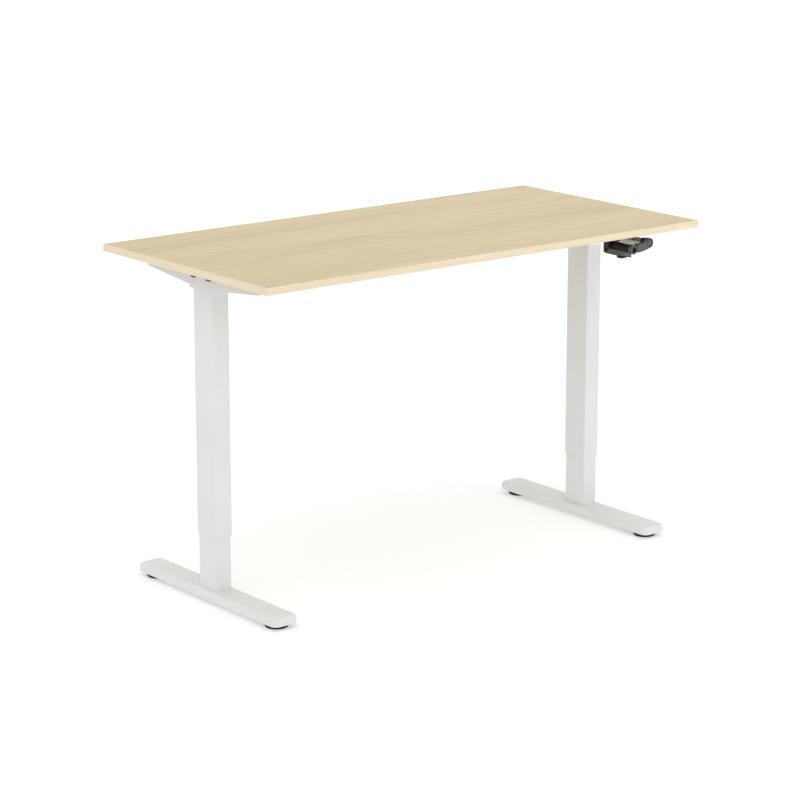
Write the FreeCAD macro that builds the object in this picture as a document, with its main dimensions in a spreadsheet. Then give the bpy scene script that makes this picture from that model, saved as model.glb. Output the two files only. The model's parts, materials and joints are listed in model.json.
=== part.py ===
import FreeCAD, Part
import math
import os
import Sketcher

from FreeCAD import Placement, Rotation, Vector

# Hand-crank height adjustable desk, millimetres, +Z up, the user sits on the -Y side.
# Origin: on the floor under the middle of the table top, at a working height of 867 mm.
# Each leg is an inner column fixed to a foot and an outer column that hangs from the
# top frame. A crank turns two bevel gearboxes, whose spindles climb in nuts inside the
# inner columns.

doc = FreeCAD.newDocument("standing_desk")
sheet = doc.addObject("Spreadsheet::Sheet", "sizes")

SIZES = [
    ("desk_height", 867), ("top_length", 1400), ("top_depth", 700),
    ("board_thickness", 18), ("band_thickness", 2),
    ("leg_spacing", 1232),
    ("outer_width", 50), ("outer_depth", 80), ("outer_wall", 1.5), ("outer_corner", 3),
    ("outer_low", 173), ("column_top", 797),
    ("inner_width", 45), ("inner_depth", 75), ("inner_wall", 1.5), ("inner_corner", 2.5),
    ("inner_top", 630), ("bush_gap", 0.1), ("bush_length", 60),
    ("foot_length", 600), ("foot_width", 74), ("foot_low", 12), ("foot_top", 34),
    ("foot_corner", 16), ("foot_edge", 9), ("foot_side_wall", 5), ("foot_roof", 3.5),
    ("glide_radius", 29), ("glide_height", 10), ("glide_reach", 258),
    ("stud_radius", 4), ("stud_top", 28), ("weld_nut_radius", 12), ("weld_nut_low", 13),
    ("running_gap", 0.08), ("base_plate_height", 8), ("foot_screw_radius", 4),
    ("wing_length", 476), ("wing_wall", 2.5), ("wing_root", 805), ("wing_tip", 822.5),
    ("wing_knee", 60),
    ("rail_width", 18), ("rail_height", 20.5), ("rail_wall", 1.5), ("rail_offset", 32),
    ("rail_overhang", 3), ("cap_thickness", 3.5),
    ("drive_height", 802), ("gearbox_low", 772), ("cavity_radius", 19.5),
    ("flange_length", 114), ("cover_depth", 44), ("rod_radius", 3), ("rod_flats", 7),
    ("spindle_radius", 8), ("journal_radius", 6), ("gear_seat_radius", 5),
    ("spindle_low", 325), ("bearing_radius", 14), ("bearing_height", 8),
    ("gear_module", 1.25), ("spindle_teeth", 24), ("pinion_teeth", 16), ("gear_face", 6),
    ("nut_radius", 13), ("nut_length", 25), ("nut_flange_radius", 17),
    ("nut_flange_height", 5),
    ("bracket_front", 242), ("bracket_low", 788), ("bracket_high", 805.5),
    ("bracket_wall", 2),
    ("socket_radius", 4.9), ("socket_end", 190), ("relief_radius", 3.7), ("mouth_flats", 7.2),
    ("crank_rod_flats", 6), ("sleeve_radius", 8.5), ("bearing_depth", 12),
    ("bearing_hump_radius", 11.5), ("cap_radius", 8), ("crank_screw_radius", 2.5),
    ("arm_front", 255), ("arm_thickness", 11), ("crank_swing", 56), ("crank_drop", 12),
    ("boss_radius", 13.5), ("fold_gap", 1.1), ("grip_radius", 12.5), ("grip_length", 88),
    ("spigot_radius", 4), ("dimple_radius", 7.5), ("fold_pin_radius", 2.5), ("fold_pin_grip", 9),
    ("clip_back", 150), ("clip_front", 236), ("clip_plate", 5), ("clip_wall", 4.5),
    ("clip_gap", 3), ("hook_back", 158), ("hook_front", 178),
    ("lip_front", 262), ("lip_drop", 17), ("lip_width", 12), ("lip_height", 11.5),
    ("wood_screw_head", 4.8), ("wood_screw_hole", 2.6),
]
for row, (alias, number) in enumerate(SIZES, start=1):
    sheet.set("A%d" % row, str(number))
    sheet.setAlias("A%d" % row, alias)
doc.recompute()


def size(alias):
    return float(getattr(sheet, alias))


def value(expression):
    """The number that a size expression has now."""
    return float(sheet.evalExpression(expression))


def label(thing, name):
    thing.Label = name
    return thing


def place(thing, x="0", y="0", z="0", rotation=None):
    """Puts a piece at three size expressions, turned by rotation."""
    thing.Placement = Placement(Vector(0, 0, 0), rotation or Rotation())
    for axis, expression in (("x", x), ("y", y), ("z", z)):
        thing.setExpression("Placement.Base." + axis, expression)
    return thing


# ---- sketches -------------------------------------------------------------------

def new_sketch(body, name, role="XY_Plane", offset=0.0):
    sketch = body.newObject("Sketcher::SketchObject", name)
    plane = next(item for item in body.Origin.OriginFeatures if item.Role == role)
    sketch.AttachmentSupport = [(plane, "")]
    sketch.MapMode = "FlatFace"
    sketch.AttachmentOffset = Placement(Vector(0, 0, offset), Rotation())
    return sketch


def bind(sketch, constraint, name, expression):
    """Adds a dimension to a sketch and ties it to a size expression."""
    index = sketch.addConstraint(constraint)
    sketch.renameConstraint(index, name)
    sketch.setExpression("Constraints." + name, expression)


def rounded_rectangle(sketch, tag, width, depth, radius):
    """A rectangle with round corners, centred on the sketch's origin."""
    half_x, half_y, r = value(width) / 2, value(depth) / 2, value(radius)
    axis = Vector(0, 0, 1)
    lines = [
        Part.LineSegment(Vector(-half_x + r, -half_y, 0), Vector(half_x - r, -half_y, 0)),
        Part.LineSegment(Vector(half_x, -half_y + r, 0), Vector(half_x, half_y - r, 0)),
        Part.LineSegment(Vector(half_x - r, half_y, 0), Vector(-half_x + r, half_y, 0)),
        Part.LineSegment(Vector(-half_x, half_y - r, 0), Vector(-half_x, -half_y + r, 0)),
    ]
    centres = [(half_x - r, -half_y + r), (half_x - r, half_y - r),
               (-half_x + r, half_y - r), (-half_x + r, -half_y + r)]
    sides, corners = [], []
    for index in range(4):
        sides.append(sketch.addGeometry(lines[index], False))
        circle = Part.Circle(Vector(*centres[index], 0), axis, r)
        start = math.radians(90 * index - 90)
        corners.append(sketch.addGeometry(
            Part.ArcOfCircle(circle, start, start + math.pi / 2), False))
    for index in range(4):
        following = sides[(index + 1) % 4]
        sketch.addConstraint(Sketcher.Constraint("Tangent", sides[index], 2, corners[index], 1))
        sketch.addConstraint(Sketcher.Constraint("Tangent", corners[index], 2, following, 1))
        kind = "Horizontal" if index % 2 == 0 else "Vertical"
        sketch.addConstraint(Sketcher.Constraint(kind, sides[index]))
        if index:
            sketch.addConstraint(Sketcher.Constraint("Equal", corners[0], corners[index]))
    bind(sketch, Sketcher.Constraint("Radius", corners[0], r), tag + "_radius", radius)
    bind(sketch, Sketcher.Constraint("DistanceX", -1, 1, sides[1], 1, half_x),
         tag + "_right", "(%s) / 2" % width)
    bind(sketch, Sketcher.Constraint("DistanceX", sides[3], 1, -1, 1, half_x),
         tag + "_left", "(%s) / 2" % width)
    bind(sketch, Sketcher.Constraint("DistanceY", -1, 1, sides[2], 1, half_y),
         tag + "_top", "(%s) / 2" % depth)
    bind(sketch, Sketcher.Constraint("DistanceY", sides[0], 1, -1, 1, half_y),
         tag + "_bottom", "(%s) / 2" % depth)


def circle_in(sketch, tag, x, y, radius):
    """A circle at two numbers, with its radius tied to a size expression."""
    index = sketch.addGeometry(
        Part.Circle(Vector(x, y, 0), Vector(0, 0, 1), value(radius)), False)
    bind(sketch, Sketcher.Constraint("Radius", index, value(radius)), tag + "_radius", radius)
    sketch.addConstraint(Sketcher.Constraint("Block", index))


def polygon_in(sketch, points):
    """A closed outline of straight sides."""
    vectors = [Vector(x, y, 0) for x, y in points]
    count = len(vectors)
    first = None
    for index in range(count):
        added = sketch.addGeometry(
            Part.LineSegment(vectors[index], vectors[(index + 1) % count]), False)
        first = added if first is None else first
    for index in range(count):
        sketch.addConstraint(Sketcher.Constraint(
            "Coincident", first + index, 2, first + (index + 1) % count, 1))


def pad(body, sketch, length, name, middle=False):
    feature = body.newObject("PartDesign::Pad", name)
    feature.Profile = sketch
    feature.setExpression("Length", length)
    if middle:
        feature.SideType = "Symmetric"
    return feature


def prism(name, outlines, height, holes=()):
    """A body of rounded rectangles, (width, depth, radius), and round holes, (x, y, r)."""
    body = doc.addObject("PartDesign::Body", name)
    sketch = new_sketch(body, name + "_outline")
    for index, (width, depth, radius) in enumerate(outlines):
        rounded_rectangle(sketch, "loop%d" % index, width, depth, radius)
    for index, (x, y, radius) in enumerate(holes):
        circle_in(sketch, "hole%d" % index, x, y, radius)
    pad(body, sketch, height, name + "_pad")
    return label(body, name)


def shape_feature(name, shape, at=None):
    """A piece whose solid is worked out directly from the sheet's sizes."""
    feature = doc.addObject("Part::Feature", name)
    feature.Shape = shape
    feature.Placement = at or Placement()
    return label(feature, name)


# ---- plain solids ---------------------------------------------------------------

def block(low, high):
    return Part.makeBox(high.x - low.x, high.y - low.y, high.z - low.z, low)


def hexagon_bar(flats, start, length, direction):
    """A six-sided bar, flats apart, with one flat facing +Z or +X."""
    radius = flats / math.sqrt(3)
    turn = Rotation(Vector(0, 0, 1), direction)
    points = [start + turn.multVec(Vector(radius * math.cos(math.radians(60 * index)),
                                          radius * math.sin(math.radians(60 * index)), 0))
              for index in range(7)]
    return Part.Face(Part.makePolygon(points)).extrude(direction * length)


def bevel_gear(teeth, mate_teeth, bore, hub_length):
    """A straight bevel gear whose cone's point is the origin; it lies along +Z."""
    module, face = size("gear_module"), size("gear_face")
    radius, reach = module * teeth / 2, module * mate_teeth / 2
    cone = math.hypot(radius, reach)
    along = Vector(radius / cone, 0, reach / cone)
    outward = Vector(reach / cone, 0, -radius / cone)
    shrink = (cone - face) / cone
    root_depth, tip_height = 1.15 * module, 0.85 * module
    pitch = math.pi * module
    large = along * cone - outward * root_depth
    small = large * shrink
    back = large.z + 1.5
    outline = [Vector(0, 0, small.z), small, large, Vector(large.x, 0, back),
               Vector(bore + 3, 0, back), Vector(bore + 3, 0, back + hub_length),
               Vector(0, 0, back + hub_length), Vector(0, 0, small.z)]
    blank = Part.Face(Part.makePolygon(outline)).revolve(
        Vector(0, 0, 0), Vector(0, 0, 1), 360)
    corners = [(-root_depth - 0.3, -0.30), (tip_height, -0.11),
               (tip_height, 0.11), (-root_depth - 0.3, 0.30)]
    section = [along * cone + outward * rise + Vector(0, pitch * half, 0)
               for rise, half in corners]
    inner = [point * shrink for point in section]
    tooth = Part.makeLoft([Part.makePolygon(section + section[:1]),
                           Part.makePolygon(inner + inner[:1])], True, True)
    ring = []
    for index in range(teeth):
        copy = tooth.copy()
        copy.rotate(Vector(0, 0, 0), Vector(0, 0, 1), 360.0 * index / teeth)
        ring.append(copy)
    hole = Part.makeCylinder(bore, back + hub_length + 10)
    return blank.fuse(ring).cut(hole).removeSplitter()


# ---- the table top --------------------------------------------------------------

UNDERSIDE = "sizes.desk_height - sizes.board_thickness"


def make_top():
    """A laminated board with an edge band on each side."""
    inset = "2 * sizes.band_thickness"
    board = prism("tabletop",
                  [("sizes.top_length - " + inset, "sizes.top_depth - " + inset, "0.2")],
                  "sizes.board_thickness")
    place(board, z=UNDERSIDE)
    for side, sign in (("front", "-"), ("back", "")):
        band = prism("edge_band_" + side,
                     [("sizes.top_length", "sizes.band_thickness", "0.4")],
                     "sizes.board_thickness")
        place(band, y="%s(sizes.top_depth - sizes.band_thickness) / 2" % sign, z=UNDERSIDE)
    for side, sign in (("left", "-"), ("right", "")):
        band = prism("edge_band_" + side,
                     [("sizes.band_thickness", "sizes.top_depth - " + inset, "0.4")],
                     "sizes.board_thickness")
        place(band, x="%s(sizes.top_length - sizes.band_thickness) / 2" % sign, z=UNDERSIDE)


# ---- cross rails between the legs -----------------------------------------------

def make_rails():
    """Two rectangular tubes that run through the wing brackets, with end caps."""
    level = UNDERSIDE + " - sizes.wing_wall - sizes.rail_height / 2"
    length = "sizes.leg_spacing + sizes.outer_width + 2 * sizes.rail_overhang"
    upright = Rotation(Vector(0, 1, 0), 90)
    for side, sign in (("front", "-"), ("rear", "")):
        rail = prism(side + "_rail",
                     [("sizes.rail_height", "sizes.rail_width", "1.5"),
                      ("sizes.rail_height - 2 * sizes.rail_wall",
                       "sizes.rail_width - 2 * sizes.rail_wall", "0.8")], length)
        place(rail, x="-(%s) / 2" % length, y=sign + "sizes.rail_offset", z=level,
              rotation=upright)
    centre = size("desk_height") - size("board_thickness") - size("wing_wall") \
        - size("rail_height") / 2
    end = size("leg_spacing") / 2 + size("outer_width") / 2 + size("rail_overhang")
    half_y, half_z = size("rail_width") / 2, size("rail_height") / 2
    plug = size("rail_wall") + 0.4
    caps = []
    for x_sign in (-1, 1):
        for y_sign in (-1, 1):
            y = y_sign * size("rail_offset")
            inner_x, outer_x = x_sign * end, x_sign * (end + size("cap_thickness"))
            lip = block(Vector(min(inner_x, outer_x), y - half_y, centre - half_z),
                        Vector(max(inner_x, outer_x), y + half_y, centre + half_z))
            lip = lip.makeFillet(1.2, [edge for edge in lip.Edges
                                       if abs(edge.CenterOfMass.x - outer_x) < 0.01])
            back_x = x_sign * (end - 12)
            tongue = block(
                Vector(min(back_x, inner_x), y - half_y + plug, centre - half_z + plug),
                Vector(max(back_x, inner_x), y + half_y - plug, centre + half_z - plug))
            caps.append(lip.fuse(tongue).removeSplitter())
    shape_feature("rail_end_caps", Part.makeCompound(caps))


# ---- legs -----------------------------------------------------------------------

def make_foot(side, x):
    """A pressed steel foot, open below, with a soft upper edge."""
    body = doc.addObject("PartDesign::Body", side + "_foot")
    outline = new_sketch(body, side + "_foot_outline")
    rounded_rectangle(outline, "rim", "sizes.foot_width", "sizes.foot_length",
                      "sizes.foot_corner")
    block_pad = pad(body, outline, "sizes.foot_top - sizes.foot_low", side + "_foot_pad")
    doc.recompute()
    top = size("foot_top") - size("foot_low")
    edges = ["Edge%d" % (index + 1) for index, edge in enumerate(block_pad.Shape.Edges)
             if abs(edge.BoundBox.ZMin - top) < 0.01]
    soft = body.newObject("PartDesign::Fillet", side + "_foot_edge")
    soft.Base = (block_pad, edges)
    soft.setExpression("Radius", "sizes.foot_edge")
    doc.recompute()
    hollow = new_sketch(body, side + "_foot_hollow")
    rounded_rectangle(hollow, "hollow", "sizes.foot_width - 2 * sizes.foot_side_wall",
                      "sizes.foot_length - 2 * sizes.foot_side_wall",
                      "sizes.foot_corner - sizes.foot_side_wall")
    cut = body.newObject("PartDesign::Pocket", side + "_foot_pocket")
    cut.Profile = hollow
    cut.Reversed = True
    cut.setExpression("Length", "sizes.foot_top - sizes.foot_low - sizes.foot_roof")
    doc.recompute()
    screws = new_sketch(body, side + "_foot_screw_holes")
    for index, (hole_x, hole_y) in enumerate(FOOT_SCREWS):
        circle_in(screws, "screw%d" % index, hole_x, hole_y, "sizes.foot_screw_radius + 0.3")
    holes = body.newObject("PartDesign::Pocket", side + "_foot_holes")
    holes.Profile = screws
    holes.Reversed = True
    holes.Type = "ThroughAll"
    label(body, side + "_foot")
    place(body, x=x, z="sizes.foot_low")


FOOT_SCREWS = [(sx * 13, sy * 27) for sx in (-1, 1) for sy in (-1, 1)]


def make_foot_fittings(side, centre_x):
    """Weld nuts for the two glides, the column's base plate and the screws through it."""
    roof = size("foot_top") - size("foot_roof")
    nuts = []
    for sign in (-1, 1):
        y = sign * size("glide_reach")
        solid = Part.makeCylinder(size("weld_nut_radius"), roof - size("weld_nut_low"),
                                  Vector(centre_x, y, size("weld_nut_low")))
        hole = Part.makeCylinder(size("stud_radius") + size("running_gap"), 60,
                                 Vector(centre_x, y, 0))
        nuts.append(solid.cut(hole))
    shape_feature(side + "_weld_nuts", Part.makeCompound(nuts))
    plate = prism(side + "_base_plate",
                  [("sizes.inner_width - 2 * sizes.inner_wall - 0.2",
                    "sizes.inner_depth - 2 * sizes.inner_wall - 0.2", "1")],
                  "sizes.base_plate_height",
                  holes=[(hx, hy, "sizes.foot_screw_radius + 0.05") for hx, hy in FOOT_SCREWS])
    place(plate, x=str(centre_x), z="sizes.foot_top")
    screws = []
    for hole_x, hole_y in FOOT_SCREWS:
        foot = Vector(centre_x + hole_x, hole_y, roof)
        shank = Part.makeCylinder(size("foot_screw_radius"),
                                  size("foot_roof") + size("base_plate_height") - 0.5, foot)
        head = Part.makeCylinder(6.5, 5, foot - Vector(0, 0, 5))
        recess = hexagon_bar(5, foot - Vector(0, 0, 5), 3, Vector(0, 0, 1))
        screws.append(head.fuse(shank).cut(recess).removeSplitter())
    shape_feature(side + "_foot_screws", Part.makeCompound(screws))


def make_glides(side, centre_x):
    """Two black levelling glides, each a round pad on a threaded stud."""
    for name, sign in (("front", -1), ("rear", 1)):
        r, h = size("glide_radius"), size("glide_height")
        stud, top = size("stud_radius"), size("stud_top")
        outline = Part.makePolygon([
            Vector(0, 0, 0), Vector(r - 1.5, 0, 0), Vector(r, 0, 1.5), Vector(r, 0, h - 2),
            Vector(r - 2, 0, h), Vector(8, 0, h), Vector(8, 0, h + 1.5),
            Vector(stud, 0, h + 1.5), Vector(stud, 0, top), Vector(0, 0, top), Vector(0, 0, 0)])
        solid = Part.Face(outline).revolve(Vector(0, 0, 0), Vector(0, 0, 1), 360)
        at = Placement(Vector(centre_x, sign * size("glide_reach"), 0), Rotation())
        shape_feature("%s_%s_glide" % (side, name), solid, at)


def make_columns(side, x):
    """The two telescoping tubes and the plastic bushes between them."""
    inner = prism(side + "_inner_column",
                  [("sizes.inner_width", "sizes.inner_depth", "sizes.inner_corner"),
                   ("sizes.inner_width - 2 * sizes.inner_wall",
                    "sizes.inner_depth - 2 * sizes.inner_wall",
                    "sizes.inner_corner - sizes.inner_wall")],
                  "sizes.inner_top - sizes.foot_top")
    place(inner, x=x, z="sizes.foot_top")
    outer = prism(side + "_outer_column",
                  [("sizes.outer_width", "sizes.outer_depth", "sizes.outer_corner"),
                   ("sizes.outer_width - 2 * sizes.outer_wall",
                    "sizes.outer_depth - 2 * sizes.outer_wall",
                    "sizes.outer_corner - sizes.outer_wall")],
                  "sizes.column_top - sizes.outer_low")
    place(outer, x=x, z="sizes.outer_low")
    lower = prism(side + "_lower_bush",
                  [("sizes.outer_width - 2 * sizes.outer_wall",
                    "sizes.outer_depth - 2 * sizes.outer_wall",
                    "sizes.outer_corner - sizes.outer_wall"),
                   ("sizes.inner_width + 2 * sizes.bush_gap",
                    "sizes.inner_depth + 2 * sizes.bush_gap", "sizes.inner_corner")],
                  "sizes.bush_length")
    place(lower, x=x, z="sizes.outer_low")
    upper = prism(side + "_upper_bush",
                  [("sizes.outer_width - 2 * sizes.outer_wall - 2 * sizes.bush_gap",
                    "sizes.outer_depth - 2 * sizes.outer_wall - 2 * sizes.bush_gap",
                    "sizes.outer_corner - sizes.outer_wall"),
                   ("sizes.inner_width", "sizes.inner_depth", "sizes.inner_corner")],
                  "sizes.bush_length - 5")
    place(upper, x=x, z="sizes.inner_top - sizes.bush_length")
    carrier = prism(side + "_nut_carrier",
                    [("sizes.inner_width - 2 * sizes.inner_wall",
                      "sizes.inner_depth - 2 * sizes.inner_wall",
                      "sizes.inner_corner - sizes.inner_wall")], "sizes.nut_length",
                    holes=[(0, 0, "sizes.nut_radius")])
    place(carrier, x=x, z="sizes.inner_top - sizes.nut_length")


def make_spindle_parts(side, centre_x):
    """Nut, spindle, its bearing and its bevel gear."""
    top, length, flange = size("inner_top"), size("nut_length"), size("nut_flange_height")
    nut = Part.makeCylinder(size("nut_radius"), length, Vector(centre_x, 0, top - length))
    nut = nut.fuse(Part.makeCylinder(size("nut_flange_radius"), flange,
                                     Vector(centre_x, 0, top - length - flange)))
    bore = Part.makeCylinder(size("spindle_radius") + size("running_gap"), 60,
                             Vector(centre_x, 0, top - 40))
    shape_feature(side + "_spindle_nut", nut.cut(bore).removeSplitter())
    low, shoulder = size("spindle_low"), size("gearbox_low") - 2
    seat = size("gearbox_low") + 12
    thread = Part.makeCylinder(size("spindle_radius"), shoulder - low,
                               Vector(centre_x, 0, low))
    ends = [edge for edge in thread.Edges if isinstance(edge.Curve, Part.Circle)]
    thread = thread.makeChamfer(1.5, ends)
    journal = Part.makeCylinder(size("journal_radius"), seat - shoulder,
                                Vector(centre_x, 0, shoulder))
    tip = Part.makeCylinder(size("gear_seat_radius"), 9, Vector(centre_x, 0, seat))
    shape_feature(side + "_spindle", thread.fuse([journal, tip]).removeSplitter())
    bearing_low = size("gearbox_low") + 1.5
    height = size("bearing_height")
    at = Vector(centre_x, 0, bearing_low)
    ring = Part.makeCylinder(size("bearing_radius"), height, at)
    ring = ring.cut(Part.makeCylinder(size("journal_radius") + 0.05, height, at))
    groove = Part.makeCylinder(size("bearing_radius") - 3, 1, at).cut(
        Part.makeCylinder(size("journal_radius") + 2.5, 1, at))
    ring = ring.cut(groove).cut(groove.translated(Vector(0, 0, height - 1)))
    shape_feature(side + "_spindle_bearing", ring)
    gear = bevel_gear(int(size("spindle_teeth")), int(size("pinion_teeth")),
                      size("gear_seat_radius"), 3)
    turned = Placement(Vector(centre_x, 0, size("drive_height")),
                       Rotation(Vector(1, 0, 0), 180))
    shape_feature(side + "_spindle_gear", gear, turned)


def make_gearbox(side, centre_x, has_crank):
    """A cast housing that drops into the column, and the cover that closes it."""
    low, top, joint = size("gearbox_low"), size("column_top"), size("wing_root")
    drive, cavity = size("drive_height"), size("cavity_radius")
    half_x = size("outer_width") / 2 - size("outer_wall") - 0.1
    half_y = size("outer_depth") / 2 - size("outer_wall") - 0.1
    plug = block(Vector(centre_x - half_x, -half_y, low), Vector(centre_x + half_x, half_y, top))
    plug = plug.makeFillet(2, [edge for edge in plug.Edges
                               if abs(edge.CenterOfMass.z - (low + top) / 2) < 0.01])
    reach = size("flange_length") / 2
    wide = size("outer_width") / 2
    flange = block(Vector(centre_x - wide, -reach, top), Vector(centre_x + wide, reach, joint))
    under = [edge for edge in flange.Edges
             if abs(edge.CenterOfMass.z - top) < 0.01 and abs(edge.CenterOfMass.y) > 10]
    flange = flange.makeFillet(6, under)
    housing = plug.fuse(flange).removeSplitter()
    floor = low + 1.5 + size("bearing_height") + 1.5
    room = Part.makeCylinder(cavity, joint + 17 - floor, Vector(centre_x, 0, floor))
    seat = Part.makeCylinder(size("bearing_radius"), floor - low + 1,
                             Vector(centre_x, 0, low + 1.5))
    mouth = Part.makeCylinder(size("spindle_radius") + 1, 10, Vector(centre_x, 0, low - 2))
    # The cross rod comes in along X, on both sides of the left box and the left of the right.
    rod_start = -cavity - 5 if side == "left" else -wide - 2
    rod_end = wide + 2 if side == "left" else 0
    channel = Part.makeCylinder(size("rod_flats") / math.sqrt(3) + 0.8, rod_end - rod_start,
                                Vector(centre_x + rod_start, 0, drive), Vector(1, 0, 0))
    holes = [room, seat, mouth, channel]
    if has_crank:
        holes.append(Part.makeCylinder(size("socket_radius") + 0.3, 70,
                                       Vector(centre_x, 0, drive), Vector(0, -1, 0)))
    cover_x = size("outer_width") / 2 - size("wing_wall") - 0.2
    cover_y = size("cover_depth") / 2
    roof = size("desk_height") - size("board_thickness") - size("wing_wall") - 0.2
    cover = block(Vector(centre_x - cover_x, -cover_y, joint),
                  Vector(centre_x + cover_x, cover_y, roof))
    for hole in holes:
        housing = housing.cut(hole)
        cover = cover.cut(hole)
    shape_feature(side + "_gearbox_housing", housing.removeSplitter())
    shape_feature(side + "_gearbox_cover", cover.removeSplitter())


def make_wing(side, x):
    """The tapered steel channel that carries the table top."""
    body = doc.addObject("PartDesign::Body", side + "_wing_bracket")
    top = size("desk_height") - size("board_thickness")
    half, knee = size("wing_length") / 2, size("wing_knee")
    root, tip = size("wing_root"), size("wing_tip")
    profile = new_sketch(body, side + "_wing_profile", "YZ_Plane")
    polygon_in(profile, [(-half, top), (half, top), (half, tip + 4), (half - 4, tip),
                         (knee, root), (-knee, root), (-half + 4, tip), (-half, tip + 4)])
    pad(body, profile, "sizes.outer_width", side + "_wing_pad", middle=True)
    doc.recompute()
    hollow = new_sketch(body, side + "_wing_hollow", "XY_Plane", top - size("wing_wall"))
    rounded_rectangle(hollow, "hollow", "sizes.outer_width - 2 * sizes.wing_wall",
                      "sizes.wing_length - 2 * sizes.wing_wall", "1")
    cut = body.newObject("PartDesign::Pocket", side + "_wing_pocket")
    cut.Profile = hollow
    cut.Type = "ThroughAll"
    doc.recompute()
    windows = new_sketch(body, side + "_wing_windows", "YZ_Plane")
    gap = 0.15
    rail_y, half_y = size("rail_offset"), size("rail_width") / 2 + gap
    high = top - size("wing_wall") + gap
    deep = high - size("rail_height") - 2 * gap
    for sign in (-1, 1):
        y = sign * rail_y
        polygon_in(windows, [(y - half_y, deep), (y + half_y, deep),
                             (y + half_y, high), (y - half_y, high)])
    opening = body.newObject("PartDesign::Pocket", side + "_wing_window_pocket")
    opening.Profile = windows
    opening.Type = "ThroughAll"
    opening.SideType = "Symmetric"
    doc.recompute()
    # The cross rod needs a notch in the inner wall only.
    notch = new_sketch(body, side + "_wing_notch", "YZ_Plane")
    drive = size("drive_height")
    polygon_in(notch, [(-6, root - 1), (6, root - 1), (6, drive + 7), (-6, drive + 7)])
    passage = body.newObject("PartDesign::Pocket", side + "_wing_passage")
    passage.Profile = notch
    passage.Type = "ThroughAll"
    passage.Reversed = side == "left"
    doc.recompute()
    holes = new_sketch(body, side + "_wing_screw_holes", "XY_Plane", top)
    for index, y in enumerate(WING_SCREWS):
        circle_in(holes, "screw%d" % index, 0, y, "sizes.wood_screw_hole")
    drilled = body.newObject("PartDesign::Pocket", side + "_wing_drilled")
    drilled.Profile = holes
    drilled.Length = 10
    label(body, side + "_wing_bracket")
    place(body, x=x)


WING_SCREWS = (-205, -110, 110, 205)


def wood_screw(x, y, roof, length):
    """A pan-head screw driven up into the board, with its head under height roof."""
    head = Part.makeCylinder(size("wood_screw_head"), 2.4, Vector(x, y, roof - 2.4))
    head = head.makeFillet(1.2, [edge for edge in head.Edges
                                 if abs(edge.CenterOfMass.z - roof + 2.4) < 0.01
                                 and isinstance(edge.Curve, Part.Circle)])
    shank = Part.makeCylinder(2, length, Vector(x, y, roof))
    return head.fuse(shank).removeSplitter()


def make_screws(centres, holder_screws):
    """Every wood screw in the board: four through each wing and two in the clip."""
    roof = size("desk_height") - size("board_thickness") - size("wing_wall")
    screws = [wood_screw(x, y, roof, 15) for x in centres for y in WING_SCREWS]
    shape_feature("top_screws", Part.makeCompound(screws + holder_screws))


# ---- drive line -----------------------------------------------------------------

def half_tooth(teeth):
    """The turn that puts a gap of a pinion over a tooth of the spindle gear."""
    return Rotation(Vector(0, 0, 1), 180.0 / teeth)


def make_cross_drive(left_x, right_x):
    """The hexagonal rod between the gearboxes and the bevel pinion at each end."""
    drive = size("drive_height")
    start = Vector(left_x - 18, 0, drive)
    bar = hexagon_bar(size("rod_flats"), start, right_x - 8 - start.x, Vector(1, 0, 0))
    shape_feature("cross_rod", bar)
    teeth, mate = int(size("pinion_teeth")), int(size("spindle_teeth"))
    bore = size("rod_flats") / math.sqrt(3) + 0.02
    pinion = bevel_gear(teeth, mate, bore, 0.5)
    toward_left = Rotation(Vector(0, 1, 0), -90).multiply(half_tooth(teeth))
    for side, x in (("left", left_x), ("right", right_x)):
        shape_feature(side + "_pinion", pinion.copy(),
                      Placement(Vector(x, 0, drive), toward_left))


def make_crank_drive(centre_x):
    """The input gear and its hollow shaft, which the crank rod engages when pulled out."""
    drive = size("drive_height")
    teeth, mate = int(size("pinion_teeth")), int(size("spindle_teeth"))
    gear = bevel_gear(teeth, mate, size("relief_radius"), 0.5)
    toward_front = Rotation(Vector(1, 0, 0), 90).multiply(half_tooth(teeth))
    shape_feature("crank_gear", gear, Placement(Vector(centre_x, 0, drive), toward_front))
    forward = Vector(0, -1, 0)
    start = Vector(centre_x, -19, drive)
    tube = Part.makeCylinder(size("socket_radius"), size("socket_end") - 19, start, forward)
    relief = Part.makeCylinder(size("relief_radius"), 150 - 19, start, forward)
    mouth = hexagon_bar(size("mouth_flats"), Vector(centre_x, -149, drive), 80, forward)
    shape_feature("crank_socket", tube.cut(relief).cut(mouth).removeSplitter())


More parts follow.
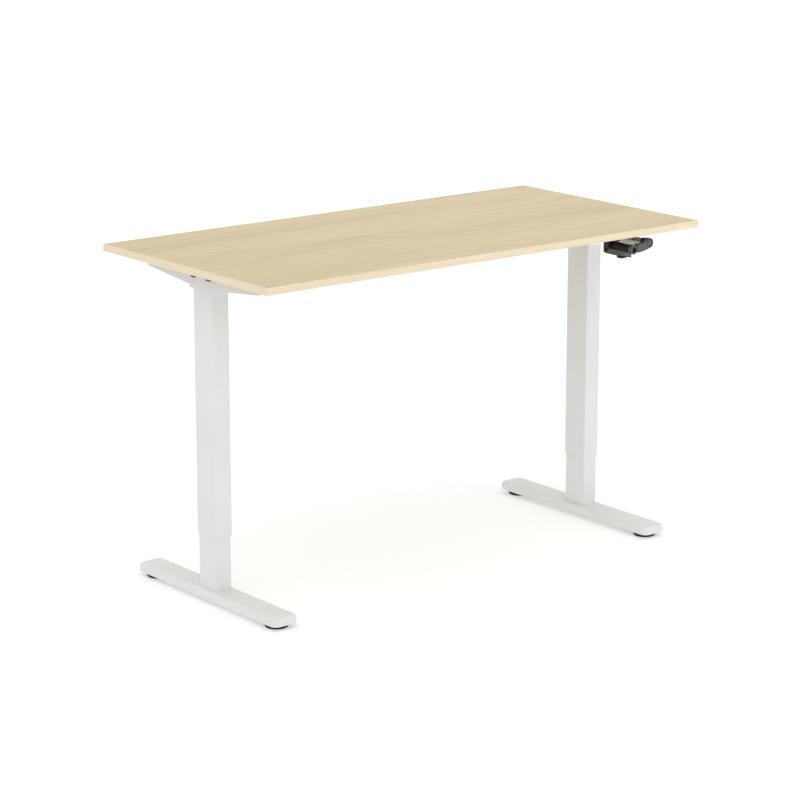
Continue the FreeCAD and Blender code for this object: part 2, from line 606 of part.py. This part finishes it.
def make_crank_bracket(centre_x):
    """The white channel that carries the crank's bearing in front of the right column."""
    wide = size("outer_width") / 2 - size("wing_wall") - 0.1
    front, low, high = size("bracket_front"), size("bracket_low"), size("bracket_high")
    wall, face = size("bracket_wall"), size("outer_depth") / 2
    flange = size("flange_length") / 2 + 0.5
    outer = block(Vector(centre_x - wide, -front, low), Vector(centre_x + wide, -flange, high))
    corners = [edge for edge in outer.Edges
               if abs(edge.CenterOfMass.z - low) < 0.01 and abs(edge.CenterOfMass.x - centre_x) > 5]
    outer = outer.makeFillet(3, corners)
    inner = block(Vector(centre_x - wide + wall, -front - 1, low + wall),
                  Vector(centre_x + wide - wall, -flange + 1, high + 1))
    channel = outer.cut(inner)
    floor = block(Vector(centre_x - wide + 3, -flange, low),
                  Vector(centre_x + wide - 3, -face, low + wall))
    tab = block(Vector(centre_x - wide + 3, -face - wall, low - 24),
                Vector(centre_x + wide - 3, -face, low + wall))
    solid = channel.fuse([floor, tab])
    holes, screws = [], []
    for sign in (-1, 1):
        at = Vector(centre_x + sign * 11, -face - wall, low - 13)
        holes.append(Part.makeCylinder(size("crank_screw_radius") + 0.1, 20,
                                       at + Vector(0, -5, 0), Vector(0, 1, 0)))
        head = Part.makeCylinder(4.8, 2.6, at, Vector(0, -1, 0))
        shank = Part.makeCylinder(size("crank_screw_radius"), wall + size("outer_wall") + 4,
                                  at, Vector(0, 1, 0))
        screws.append(head.fuse(shank).removeSplitter())
    shape_feature("crank_bracket", solid.cut(Part.makeCompound(holes)).removeSplitter())
    shape_feature("crank_bracket_screws", Part.makeCompound(screws))


def make_crank_bearing(centre_x):
    """A black bearing block in the channel's mouth, and the sleeve that turns in it."""
    drive, front = size("drive_height"), size("bracket_front")
    wide = size("outer_width") / 2 - size("wing_wall") - size("bracket_wall") - 0.2
    low = size("bracket_low") + size("bracket_wall")
    deep, forward = size("bearing_depth"), Vector(0, 1, 0)
    solid = block(Vector(centre_x - wide, -front, low),
                  Vector(centre_x + wide, -front + deep, drive - 4))
    hump = Part.makeCylinder(size("bearing_hump_radius"), deep,
                             Vector(centre_x, -front, drive), forward)
    bore = Part.makeCylinder(size("sleeve_radius") + size("running_gap"), 60,
                             Vector(centre_x, -front - 10, drive), forward)
    shape_feature("crank_bearing", solid.fuse(hump).cut(bore).removeSplitter())
    sleeve = Part.makeCylinder(size("sleeve_radius"), deep + 1.5,
                               Vector(centre_x, -front - 1, drive), forward)
    hole = Part.makeCylinder(size("rod_radius") + size("running_gap"), 60,
                             Vector(centre_x, -front - 10, drive), forward)
    shape_feature("crank_sleeve", sleeve.cut(hole))


def make_crank(centre_x):
    """Rod, arm, cap, grip fork and grip, parked with the grip pointing back."""
    drive, front = size("drive_height"), size("arm_front")
    forward, thick = Vector(0, 1, 0), size("arm_thickness")
    shank = Part.makeCylinder(size("rod_radius"), front - 2 - 50,
                              Vector(centre_x, -front + 2, drive), forward)
    tip = hexagon_bar(size("crank_rod_flats"), Vector(centre_x, -50, drive), 20, forward)
    shape_feature("crank_rod", shank.fuse(tip).removeSplitter())

    # The arm is a bow from the shaft to the grip's ring. It ends where the grip, folding
    # over on its pin, still passes.
    boss, reach = size("boss_radius"), size("crank_swing")
    eye = Vector(centre_x - reach, -front, drive - size("crank_drop"))
    hub = Vector(centre_x, -front, drive)
    line = (eye - hub).normalize()
    across = Vector(-line.z, 0, line.x)
    if across.z < 0:
        across = across * -1
    end = eye - line * (size("grip_radius") + size("fold_gap"))
    top_start, top_end = hub + across * boss, end + across * 11.5
    low_start, low_end = hub - across * boss, end - across * 12.5
    middle = (hub + end) * 0.5
    edges = [
        Part.Arc(low_start, hub - line * boss, top_start).toShape(),
        Part.Arc(top_start, middle + across * 8, top_end).toShape(),
        Part.LineSegment(top_end, low_end).toShape(),
        Part.Arc(low_end, middle - across * 14.5, low_start).toShape(),
    ]
    arm = Part.Face(Part.Wire(edges)).extrude(Vector(0, thick, 0))
    arm = arm.makeFillet(1.6, [edge for edge in arm.Edges
                               if abs(edge.CenterOfMass.y + front) < 0.01
                               and abs((edge.CenterOfMass - end).dot(line)) > 0.5])
    recess = Part.makeCylinder(size("cap_radius") + 2, 2, hub, forward)
    hole = Part.makeCylinder(size("rod_radius") + 0.02, 40, hub, forward)
    pin_start = hub + line * (reach - size("grip_radius") - 1.2 - size("fold_pin_grip"))
    pin_hole = Part.makeCylinder(size("fold_pin_radius") + 0.05, 30,
                                 pin_start + Vector(0, thick / 2, 0), line)
    for space in (recess, hole, pin_hole):
        arm = arm.cut(space)
    shape_feature("crank_arm", arm.removeSplitter())
    cap = Part.makeCylinder(size("cap_radius"), 1.6, hub + Vector(0, 0.4, 0), forward)
    shape_feature("crank_cap", cap)

    # The fork is an eye that swings on a pin along the arm; the grip turns on its spigot.
    ring = Part.makeCylinder(size("grip_radius"), thick, eye, forward)
    dimple = Part.makeCylinder(size("dimple_radius"), 5, eye, forward)
    ring = ring.makeFillet(1.2, [edge for edge in ring.Edges
                                 if abs(edge.CenterOfMass.y + front) < 0.01
                                 and isinstance(edge.Curve, Part.Circle)])
    spigot = Part.makeCylinder(size("spigot_radius"), size("grip_length") - 4,
                               eye + Vector(0, thick, 0), forward)
    pin = Part.makeCylinder(size("fold_pin_radius"), pin_start.distanceToPoint(eye) - 5,
                            pin_start + line * 0.5 + Vector(0, thick / 2, 0), line)
    shape_feature("grip_spigot", ring.fuse([spigot, pin]).cut(dimple).removeSplitter())

    radius, length = size("grip_radius"), size("grip_length")
    start = -front + thick + 0.4
    outline = [
        Part.LineSegment(Vector(4.06, 0, 0), Vector(radius - 1, 0, 0)),
        Part.Arc(Vector(radius - 1, 0, 0), Vector(radius - 0.3, 0, 0.3), Vector(radius, 0, 1)),
        Part.Arc(Vector(radius, 0, 1), Vector(radius - 1.2, 0, 20), Vector(radius - 0.4, 0, 45)),
        Part.Arc(Vector(radius - 0.4, 0, 45), Vector(radius + 0.3, 0, 62),
                 Vector(radius - 0.6, 0, length - 5)),
        Part.Arc(Vector(radius - 0.6, 0, length - 5), Vector(radius - 2.4, 0, length - 1.2),
                 Vector(radius - 6, 0, length)),
        Part.LineSegment(Vector(radius - 6, 0, length), Vector(0, 0, length)),
        Part.LineSegment(Vector(0, 0, length), Vector(0, 0, length - 3)),
        Part.LineSegment(Vector(0, 0, length - 3), Vector(4.06, 0, length - 3)),
        Part.LineSegment(Vector(4.06, 0, length - 3), Vector(4.06, 0, 0)),
    ]
    handle = Part.Face(Part.Wire([item.toShape() for item in outline])).revolve(
        Vector(0, 0, 0), Vector(0, 0, 1), 360)
    shape_feature("crank_grip", handle, Placement(Vector(eye.x, start, eye.z),
                                                  Rotation(Vector(1, 0, 0), -90)))
    return eye


def make_holder(eye):
    """The clip under the table top that the parked grip slides back into.

    A short hook holds the end of the grip, and a long sloping lip guides it in. Both
    stay outside the ring that the grip sweeps when the crank turns below the table."""
    under, r = size("desk_height") - size("board_thickness"), size("grip_radius")
    wall, plate = size("clip_wall"), size("clip_plate")
    back, front = -size("clip_back"), -size("clip_front")
    hook_back, hook_front, lip_front = -size("hook_back"), -size("hook_front"), -size("lip_front")
    inner_x, outer_x = eye.x - r - size("clip_gap"), eye.x + r + size("clip_gap")
    foot, arch = eye.z - size("lip_drop"), eye.z + r + 2.7
    top_plate = block(Vector(inner_x - wall, front, under - plate),
                      Vector(outer_x + 10, back, under))
    strap = block(Vector(inner_x - wall, hook_front, foot), Vector(inner_x, hook_back, under))
    bridge = block(Vector(inner_x - wall, hook_front, arch),
                   Vector(outer_x + 4, hook_back, arch + 4.3))
    jaw = block(Vector(outer_x, hook_front, eye.z + r - 3), Vector(outer_x + 4, hook_back, under))
    # The lip is a wedge: its outer face slopes down and away. Its front end is cut back
    # from the inner edge to the outer one, and its rear end narrows to the strap.
    toe, top = inner_x - size("lip_width"), foot + size("lip_height")
    section = [(inner_x, foot), (toe, foot), (toe, foot + 2.5), (inner_x - 3, top), (inner_x, top)]
    section = [Vector(x, lip_front, z) for x, z in section]
    lip = Part.Face(Part.makePolygon(section + section[:1])).extrude(
        Vector(0, hook_back - lip_front, 0))
    for corner in ([(inner_x + 1, lip_front - 1), (toe - 1, lip_front + 30),
                    (toe - 1, lip_front - 1)],
                   [(inner_x - wall, hook_back), (toe, hook_front), (toe - 1, hook_front),
                    (toe - 1, hook_back + 1), (inner_x - wall, hook_back + 1)]):
        corner = [Vector(x, y, 0) for x, y in corner]
        lip = lip.cut(Part.Face(Part.makePolygon(corner + corner[:1])).extrude(
            Vector(0, 0, under)))
    pad_block = block(Vector(toe - 1, front - 1, foot - 5.5),
                      Vector(inner_x + 5, front + 17, foot))
    pad_block = pad_block.makeFillet(1.5, [edge for edge in pad_block.Edges
                                           if abs(edge.CenterOfMass.z - foot + 5.5) < 0.01])
    solid = top_plate.fuse([strap, bridge, jaw, lip, pad_block]).removeSplitter()
    screws = [(eye.x + 1, front + 14), (eye.x + 1, back - 14)]
    for x, y in screws:
        solid = solid.cut(Part.makeCylinder(size("wood_screw_hole"), plate,
                                            Vector(x, y, under - plate)))
    shape_feature("crank_holder", solid.removeSplitter())
    return [wood_screw(x, y, under - plate, 16) for x, y in screws]


# ---- assembly -------------------------------------------------------------------

make_top()
make_rails()
half_spacing = size("leg_spacing") / 2
for side, sign in (("left", -1), ("right", 1)):
    side_x = ("-" if sign < 0 else "") + "sizes.leg_spacing / 2"
    make_foot(side, side_x)
    make_foot_fittings(side, sign * half_spacing)
    make_glides(side, sign * half_spacing)
    make_columns(side, side_x)
    make_spindle_parts(side, sign * half_spacing)
    make_gearbox(side, sign * half_spacing, has_crank=side == "right")
    make_wing(side, side_x)
make_cross_drive(-half_spacing, half_spacing)
make_crank_drive(half_spacing)
make_crank_bracket(half_spacing)
make_crank_bearing(half_spacing)
make_screws((-half_spacing, half_spacing), make_holder(make_crank(half_spacing)))
doc.recompute()

# ---- write every piece ----------------------------------------------------------

faults = [item.Name for item in doc.Objects
          if "Invalid" in item.State or "Error" in item.State]
pieces = [item for item in doc.Objects
          if item.TypeId in ("PartDesign::Body", "Part::Feature")]
faults += [piece.Label for piece in pieces
           if piece.Shape.isNull() or not piece.Shape.isValid() or not piece.Shape.Solids]
if faults:
    raise SystemExit("failed: " + ", ".join(faults))
os.makedirs("parts", exist_ok=True)
for piece in pieces:
    piece.Shape.exportStep(os.path.join("parts", piece.Label + ".step"))
print(len(pieces), "pieces written")
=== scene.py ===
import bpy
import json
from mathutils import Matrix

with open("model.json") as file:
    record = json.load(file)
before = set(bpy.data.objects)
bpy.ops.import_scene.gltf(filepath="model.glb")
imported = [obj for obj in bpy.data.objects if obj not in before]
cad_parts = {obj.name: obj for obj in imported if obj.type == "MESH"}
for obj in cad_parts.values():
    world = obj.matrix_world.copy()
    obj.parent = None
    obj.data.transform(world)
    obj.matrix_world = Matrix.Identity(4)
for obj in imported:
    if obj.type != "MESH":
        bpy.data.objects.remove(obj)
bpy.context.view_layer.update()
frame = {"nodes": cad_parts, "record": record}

import json
import math

import bpy
from mathutils import Vector

# ---------------------------------------------------------------- materials
# All patterns use object coordinates, which are metres in the desk's own frame.


class Nodes:
    """A material under construction: short calls that add nodes and join them."""

    def __init__(self, name, **shader_values):
        self.material = bpy.data.materials.new(name)
        self.material.use_nodes = True
        self.tree = self.material.node_tree
        self.shader = self.tree.nodes["Principled BSDF"]
        for socket, value in shader_values.items():
            self.shader.inputs[socket.replace("_", " ")].default_value = value
        coordinates = self.tree.nodes.new("ShaderNodeTexCoord")
        self.place = coordinates.outputs["Object"]

    def link(self, source, target):
        self.tree.links.new(source, target)

    def stretched(self, x, y, z):
        """Object coordinates scaled apart, so that a noise on them runs in streaks."""
        mapping = self.tree.nodes.new("ShaderNodeMapping")
        mapping.inputs["Scale"].default_value = (x, y, z)
        self.link(self.place, mapping.inputs["Vector"])
        return mapping.outputs["Vector"]

    def noise(self, scale, detail=2.0, roughness=0.5, distortion=0.0, on=None):
        node = self.tree.nodes.new("ShaderNodeTexNoise")
        node.inputs["Scale"].default_value = scale
        node.inputs["Detail"].default_value = detail
        node.inputs["Roughness"].default_value = roughness
        node.inputs["Distortion"].default_value = distortion
        self.link(on or self.place, node.inputs["Vector"])
        return node.outputs["Fac"]

    def ramp(self, factor, *stops):
        """Colours or grey levels along a factor; each stop is (position, value)."""
        node = self.tree.nodes.new("ShaderNodeValToRGB")
        ramp = node.color_ramp
        while len(ramp.elements) < len(stops):
            ramp.elements.new(0.5)
        for element, (position, value) in zip(ramp.elements, stops):
            element.position = position
            grey = isinstance(value, (int, float))
            element.color = (value, value, value, 1) if grey else (*value, 1)
        self.link(factor, node.inputs["Fac"])
        return node.outputs["Color"]

    def mix(self, kind, amount, first, second):
        node = self.tree.nodes.new("ShaderNodeMix")
        node.data_type, node.blend_type = "RGBA", kind
        node.inputs["Factor"].default_value = amount
        self.link(first, node.inputs["A"])
        self.link(second, node.inputs["B"])
        return node.outputs["Result"]

    def add(self, first, second, weight):
        node = self.tree.nodes.new("ShaderNodeMath")
        node.operation = "MULTIPLY_ADD"
        self.link(second, node.inputs[0])
        node.inputs[1].default_value = weight
        self.link(first, node.inputs[2])
        return node.outputs["Value"]

    def between(self, value, low, high):
        """1 where the value lies from low to high, else 0."""
        node = self.tree.nodes.new("ShaderNodeMath")
        node.operation = "COMPARE"
        self.link(value, node.inputs[0])
        node.inputs[1].default_value = (low + high) / 2
        node.inputs[2].default_value = (high - low) / 2
        return node.outputs["Value"]

    def colour(self, output):
        self.link(output, self.shader.inputs["Base Color"])

    def roughness(self, output):
        self.link(output, self.shader.inputs["Roughness"])

    def bump(self, height, distance, strength=1.0):
        node = self.tree.nodes.new("ShaderNodeBump")
        node.inputs["Distance"].default_value = distance
        node.inputs["Strength"].default_value = strength
        self.link(height, node.inputs["Height"])
        self.link(node.outputs["Normal"], self.shader.inputs["Normal"])

    def spark_eroded(self, smoothest, roughest):
        """The fine grain and uneven gloss of moulded plastic."""
        self.roughness(self.ramp(self.noise(38.0, 3, 0.6), (0.25, smoothest), (0.75, roughest)))
        self.bump(self.noise(1800.0, 3, 0.6), 0.00008, 0.5)


def laminate():
    """Light birch decor: broad soft bands, finer streaks and short pores, all along X."""
    m = Nodes("laminate", Specular_IOR_Level=0.4)
    bands = m.noise(1.0, 3, 0.55, 0.6, m.stretched(0.9, 11, 11))
    streaks = m.noise(1.0, 5, 0.62, 0.35, m.stretched(3.2, 75, 75))
    fibres = m.noise(1.0, 4, 0.7, 0.0, m.stretched(14, 620, 620))
    base = m.ramp(bands, (0.30, (0.540, 0.426, 0.224)), (0.52, (0.593, 0.480, 0.263)),
                  (0.72, (0.623, 0.513, 0.290)))
    base = m.mix("MULTIPLY", 0.75, base, m.ramp(streaks, (0.30, 0.86), (0.5, 1.0), (0.75, 1.0)))
    base = m.mix("MULTIPLY", 0.55, base, m.ramp(fibres, (0.28, 0.78), (0.45, 1.0), (0.9, 1.0)))
    m.colour(base)
    m.roughness(m.ramp(streaks, (0.2, 0.46), (0.8, 0.36)))
    m.bump(m.add(fibres, streaks, 0.5), 0.00006, 0.6)
    return m.material


def edging():
    """The plastic edge band: the same wood a little lighter, in fine lines along the edge."""
    m = Nodes("edging", Specular_IOR_Level=0.45)
    lines = m.noise(1.0, 4, 0.6, 0.2, m.stretched(4, 4, 520))
    clouds = m.noise(9.0, 2)
    base = m.ramp(lines, (0.28, (0.680, 0.555, 0.375)), (0.5, (0.755, 0.640, 0.460)),
                  (0.75, (0.795, 0.695, 0.520)))
    base = m.mix("MULTIPLY", 0.6, base, m.ramp(clouds, (0.3, 0.93), (0.7, 1.0)))
    m.colour(base)
    m.roughness(m.ramp(lines, (0.2, 0.42), (0.8, 0.32)))
    m.bump(lines, 0.00005, 0.5)
    return m.material


def powder_coat(name, dark, light):
    """White powder coat: orange peel, a little unevenness in tone and gloss."""
    m = Nodes(name, Specular_IOR_Level=0.5)
    peel = m.noise(900.0, 3, 0.55)
    patches = m.noise(7.0, 3, 0.6)
    m.colour(m.ramp(patches, (0.3, dark), (0.7, light)))
    m.roughness(m.ramp(m.noise(260.0, 2), (0.25, 0.44), (0.75, 0.56)))
    m.bump(peel, 0.00010, 0.35)
    return m.material


def moulded(name, dark, light, rough, shine=0.45):
    """Moulded plastic, a little uneven in tone."""
    m = Nodes(name, Specular_IOR_Level=shine)
    m.colour(m.ramp(m.noise(38.0, 3, 0.6), (0.3, dark), (0.7, light)))
    m.spark_eroded(rough - 0.06, rough + 0.07)
    return m.material


def handle(name, axis_x, axis_z, low, high):
    """Dark grey handle plastic with painted shade: black between two distances from an axis along
    Y, where a groove or hole lies in shade.
    """
    m = Nodes(name, Specular_IOR_Level=0.45)
    flat = m.tree.nodes.new("ShaderNodeMapping")
    flat.inputs["Location"].default_value = (-axis_x, 0, -axis_z)
    flat.inputs["Scale"].default_value = (1, 0, 1)
    m.link(m.place, flat.inputs["Vector"])
    radius = m.tree.nodes.new("ShaderNodeVectorMath")
    radius.operation = "LENGTH"
    m.link(flat.outputs["Vector"], radius.inputs[0])
    m.colour(m.ramp(m.between(radius.outputs["Value"], low, high),
                    (0.0, DARK_GREY), (1.0, BLACK)))
    m.spark_eroded(0.38, 0.51)
    return m.material


def clip():
    """The crank clip: black, with a painted sheen on its sloping lip: a lighter, cooler grey face
    that stands in for the bright surroundings it reflects.
    """
    lip_low, lip_high = 0.7752, 0.7850
    lip_front, lip_back = -0.30, -0.1781
    m = Nodes("crank_clip", Specular_IOR_Level=0.25)
    split = m.tree.nodes.new("ShaderNodeSeparateXYZ")
    m.link(m.place, split.inputs["Vector"])
    # The lip's area, where the painted sheen goes.
    sheen_area = m.tree.nodes.new("ShaderNodeMath")
    sheen_area.operation = "MULTIPLY"
    m.link(m.between(split.outputs["Z"], lip_low, lip_high), sheen_area.inputs[0])
    m.link(m.between(split.outputs["Y"], lip_front, lip_back), sheen_area.inputs[1])
    m.colour(m.ramp(sheen_area.outputs["Value"], (0.0, BLACK), (1.0, LIP_SHEEN_GREY)))
    m.spark_eroded(0.42, 0.52)
    return m.material


def metal(name, dark, light, rough, stretch, depth, anisotropic=0.0):
    """Bare metal with tool marks that run across the stretch's large direction."""
    m = Nodes(name, Metallic=1.0, Anisotropic=anisotropic)
    marks = m.noise(1.0, 5, 0.65, 0.0, m.stretched(*stretch))
    cloud = m.noise(45.0, 3, 0.6)
    tone = m.ramp(cloud, (0.3, dark), (0.7, light))
    m.colour(m.mix("MULTIPLY", 0.5, tone, m.ramp(marks, (0.3, 0.82), (0.6, 1.0))))
    m.roughness(m.ramp(marks, (0.2, rough + 0.1), (0.8, rough - 0.06)))
    m.bump(marks, depth, 0.5)
    return m.material


BLACK, SOFT_BLACK = (0.010, 0.010, 0.0105), (0.016, 0.016, 0.0165)
DARK_GREY = (0.088, 0.089, 0.091)
# The lip colour below is a painted sheen, lighter and cooler than the black clip.
LIP_SHEEN_GREY = (0.145, 0.158, 0.182)
SHAFT_X, SHAFT_Z = 0.616, 0.802
RING_X, RING_Z = 0.560, 0.790
looks = {
    "laminate": laminate(),
    "edging": edging(),
    "white_steel": powder_coat("white_steel", (0.672, 0.672, 0.671), (0.698, 0.698, 0.698)),
    "black_plastic": moulded("black_plastic", BLACK, SOFT_BLACK, 0.46, 0.22),
    "grey_plastic": moulded("grey_plastic", (0.085, 0.086, 0.088), (0.105, 0.106, 0.108), 0.40),
    "natural_plastic": moulded("natural_plastic", (0.70, 0.69, 0.66), (0.76, 0.75, 0.72), 0.40),
    "bare_steel": metal("bare_steel", (0.50, 0.51, 0.52), (0.60, 0.61, 0.62), 0.34,
                        (900, 900, 60), 0.00005, 0.3),
    "cast_alloy": metal("cast_alloy", (0.56, 0.57, 0.58), (0.66, 0.67, 0.68), 0.50,
                        (420, 420, 420), 0.00012),
    "brass": metal("brass", (0.62, 0.46, 0.20), (0.72, 0.56, 0.27), 0.32, (90, 90, 1400), 0.00005),
}
# Painted shade: the arm is painted black in the groove round its cap, the ring in its hole, where
# shade falls.
own_look = {
    "crank_arm": handle("crank_arm", SHAFT_X, SHAFT_Z, 0.0078, 0.0104),
    "grip_spigot": handle("grip_spigot", RING_X, RING_Z, -0.001, 0.0078),
    "crank_holder": clip(),
    # Painted light: the bracket has the legs' white powder coat, painted brighter and cooler to
    # make up for the shade it sits in under the top.
    "crank_bracket": powder_coat("bracket_white_painted_bright", (0.80, 0.81, 0.83), (0.83, 0.84, 0.86)),
}
for part in frame["record"]["subparts"]:
    node = frame["nodes"][part["node"]]
    node.data.materials.clear()
    node.data.materials.append(own_look.get(part["node"], looks[part["material_slot"]]))

# ---------------------------------------------------------------- stage

floor_mesh = bpy.data.meshes.new("floor")
reach = 60.0
floor_mesh.from_pydata([(-reach, -reach, 0), (reach, -reach, 0), (reach, reach, 0),
                        (-reach, reach, 0)], [], [(0, 1, 2, 3)])
floor = bpy.data.objects.new("floor", floor_mesh)
bpy.context.scene.collection.objects.link(floor)
stage_look = Nodes("stage_floor", Base_Color=(0.62, 0.62, 0.62, 1), Roughness=0.9,
                   Specular_IOR_Level=0.1, Emission_Color=(1, 1, 1, 1), Emission_Strength=0.40)
floor_mesh.materials.append(stage_look.material)

world = bpy.data.worlds.new("studio")
world.use_nodes = True
sky = world.node_tree.nodes["Background"]
sky.inputs["Color"].default_value = (1.0, 1.0, 1.0, 1)
sky.inputs["Strength"].default_value = 1.0
bpy.context.scene.world = world


def studio_light(name, kind, source, energy, **settings):
    """A lamp whose light comes from the given direction."""
    lamp = bpy.data.lights.new(name, kind)
    lamp.energy = energy
    for setting, value in settings.items():
        setattr(lamp, setting, value)
    light = bpy.data.objects.new(name, lamp)
    light.rotation_euler = Vector(source).to_track_quat("Z", "Y").to_euler()
    bpy.context.scene.collection.objects.link(light)
    return light


studio_light("soft_top", "SUN", (-0.62, -0.50, 1.0), 0.40, angle=math.radians(50))
front = studio_light("soft_front", "AREA", (0.45, -0.85, 0.10), 16.0, shape="RECTANGLE",
                     size=2.6, size_y=1.2)
front.location = (1.9, -3.6, 1.05)

# ---------------------------------------------------------------- camera

lens = bpy.data.cameras.new("camera")
lens.sensor_fit, lens.sensor_width, lens.lens = "HORIZONTAL", 36.0, 124.92
lens.clip_start, lens.clip_end = 0.1, 200.0
camera = bpy.data.objects.new("camera", lens)
camera.location = (-4.398, -5.478, 2.190)
look_down, heading = 14.132, 38.603
camera.rotation_euler = (math.radians(90 - look_down), 0, math.radians(-heading))
bpy.context.scene.collection.objects.link(camera)
bpy.context.scene.camera = camera
bpy.context.scene.view_settings.view_transform = "Standard"
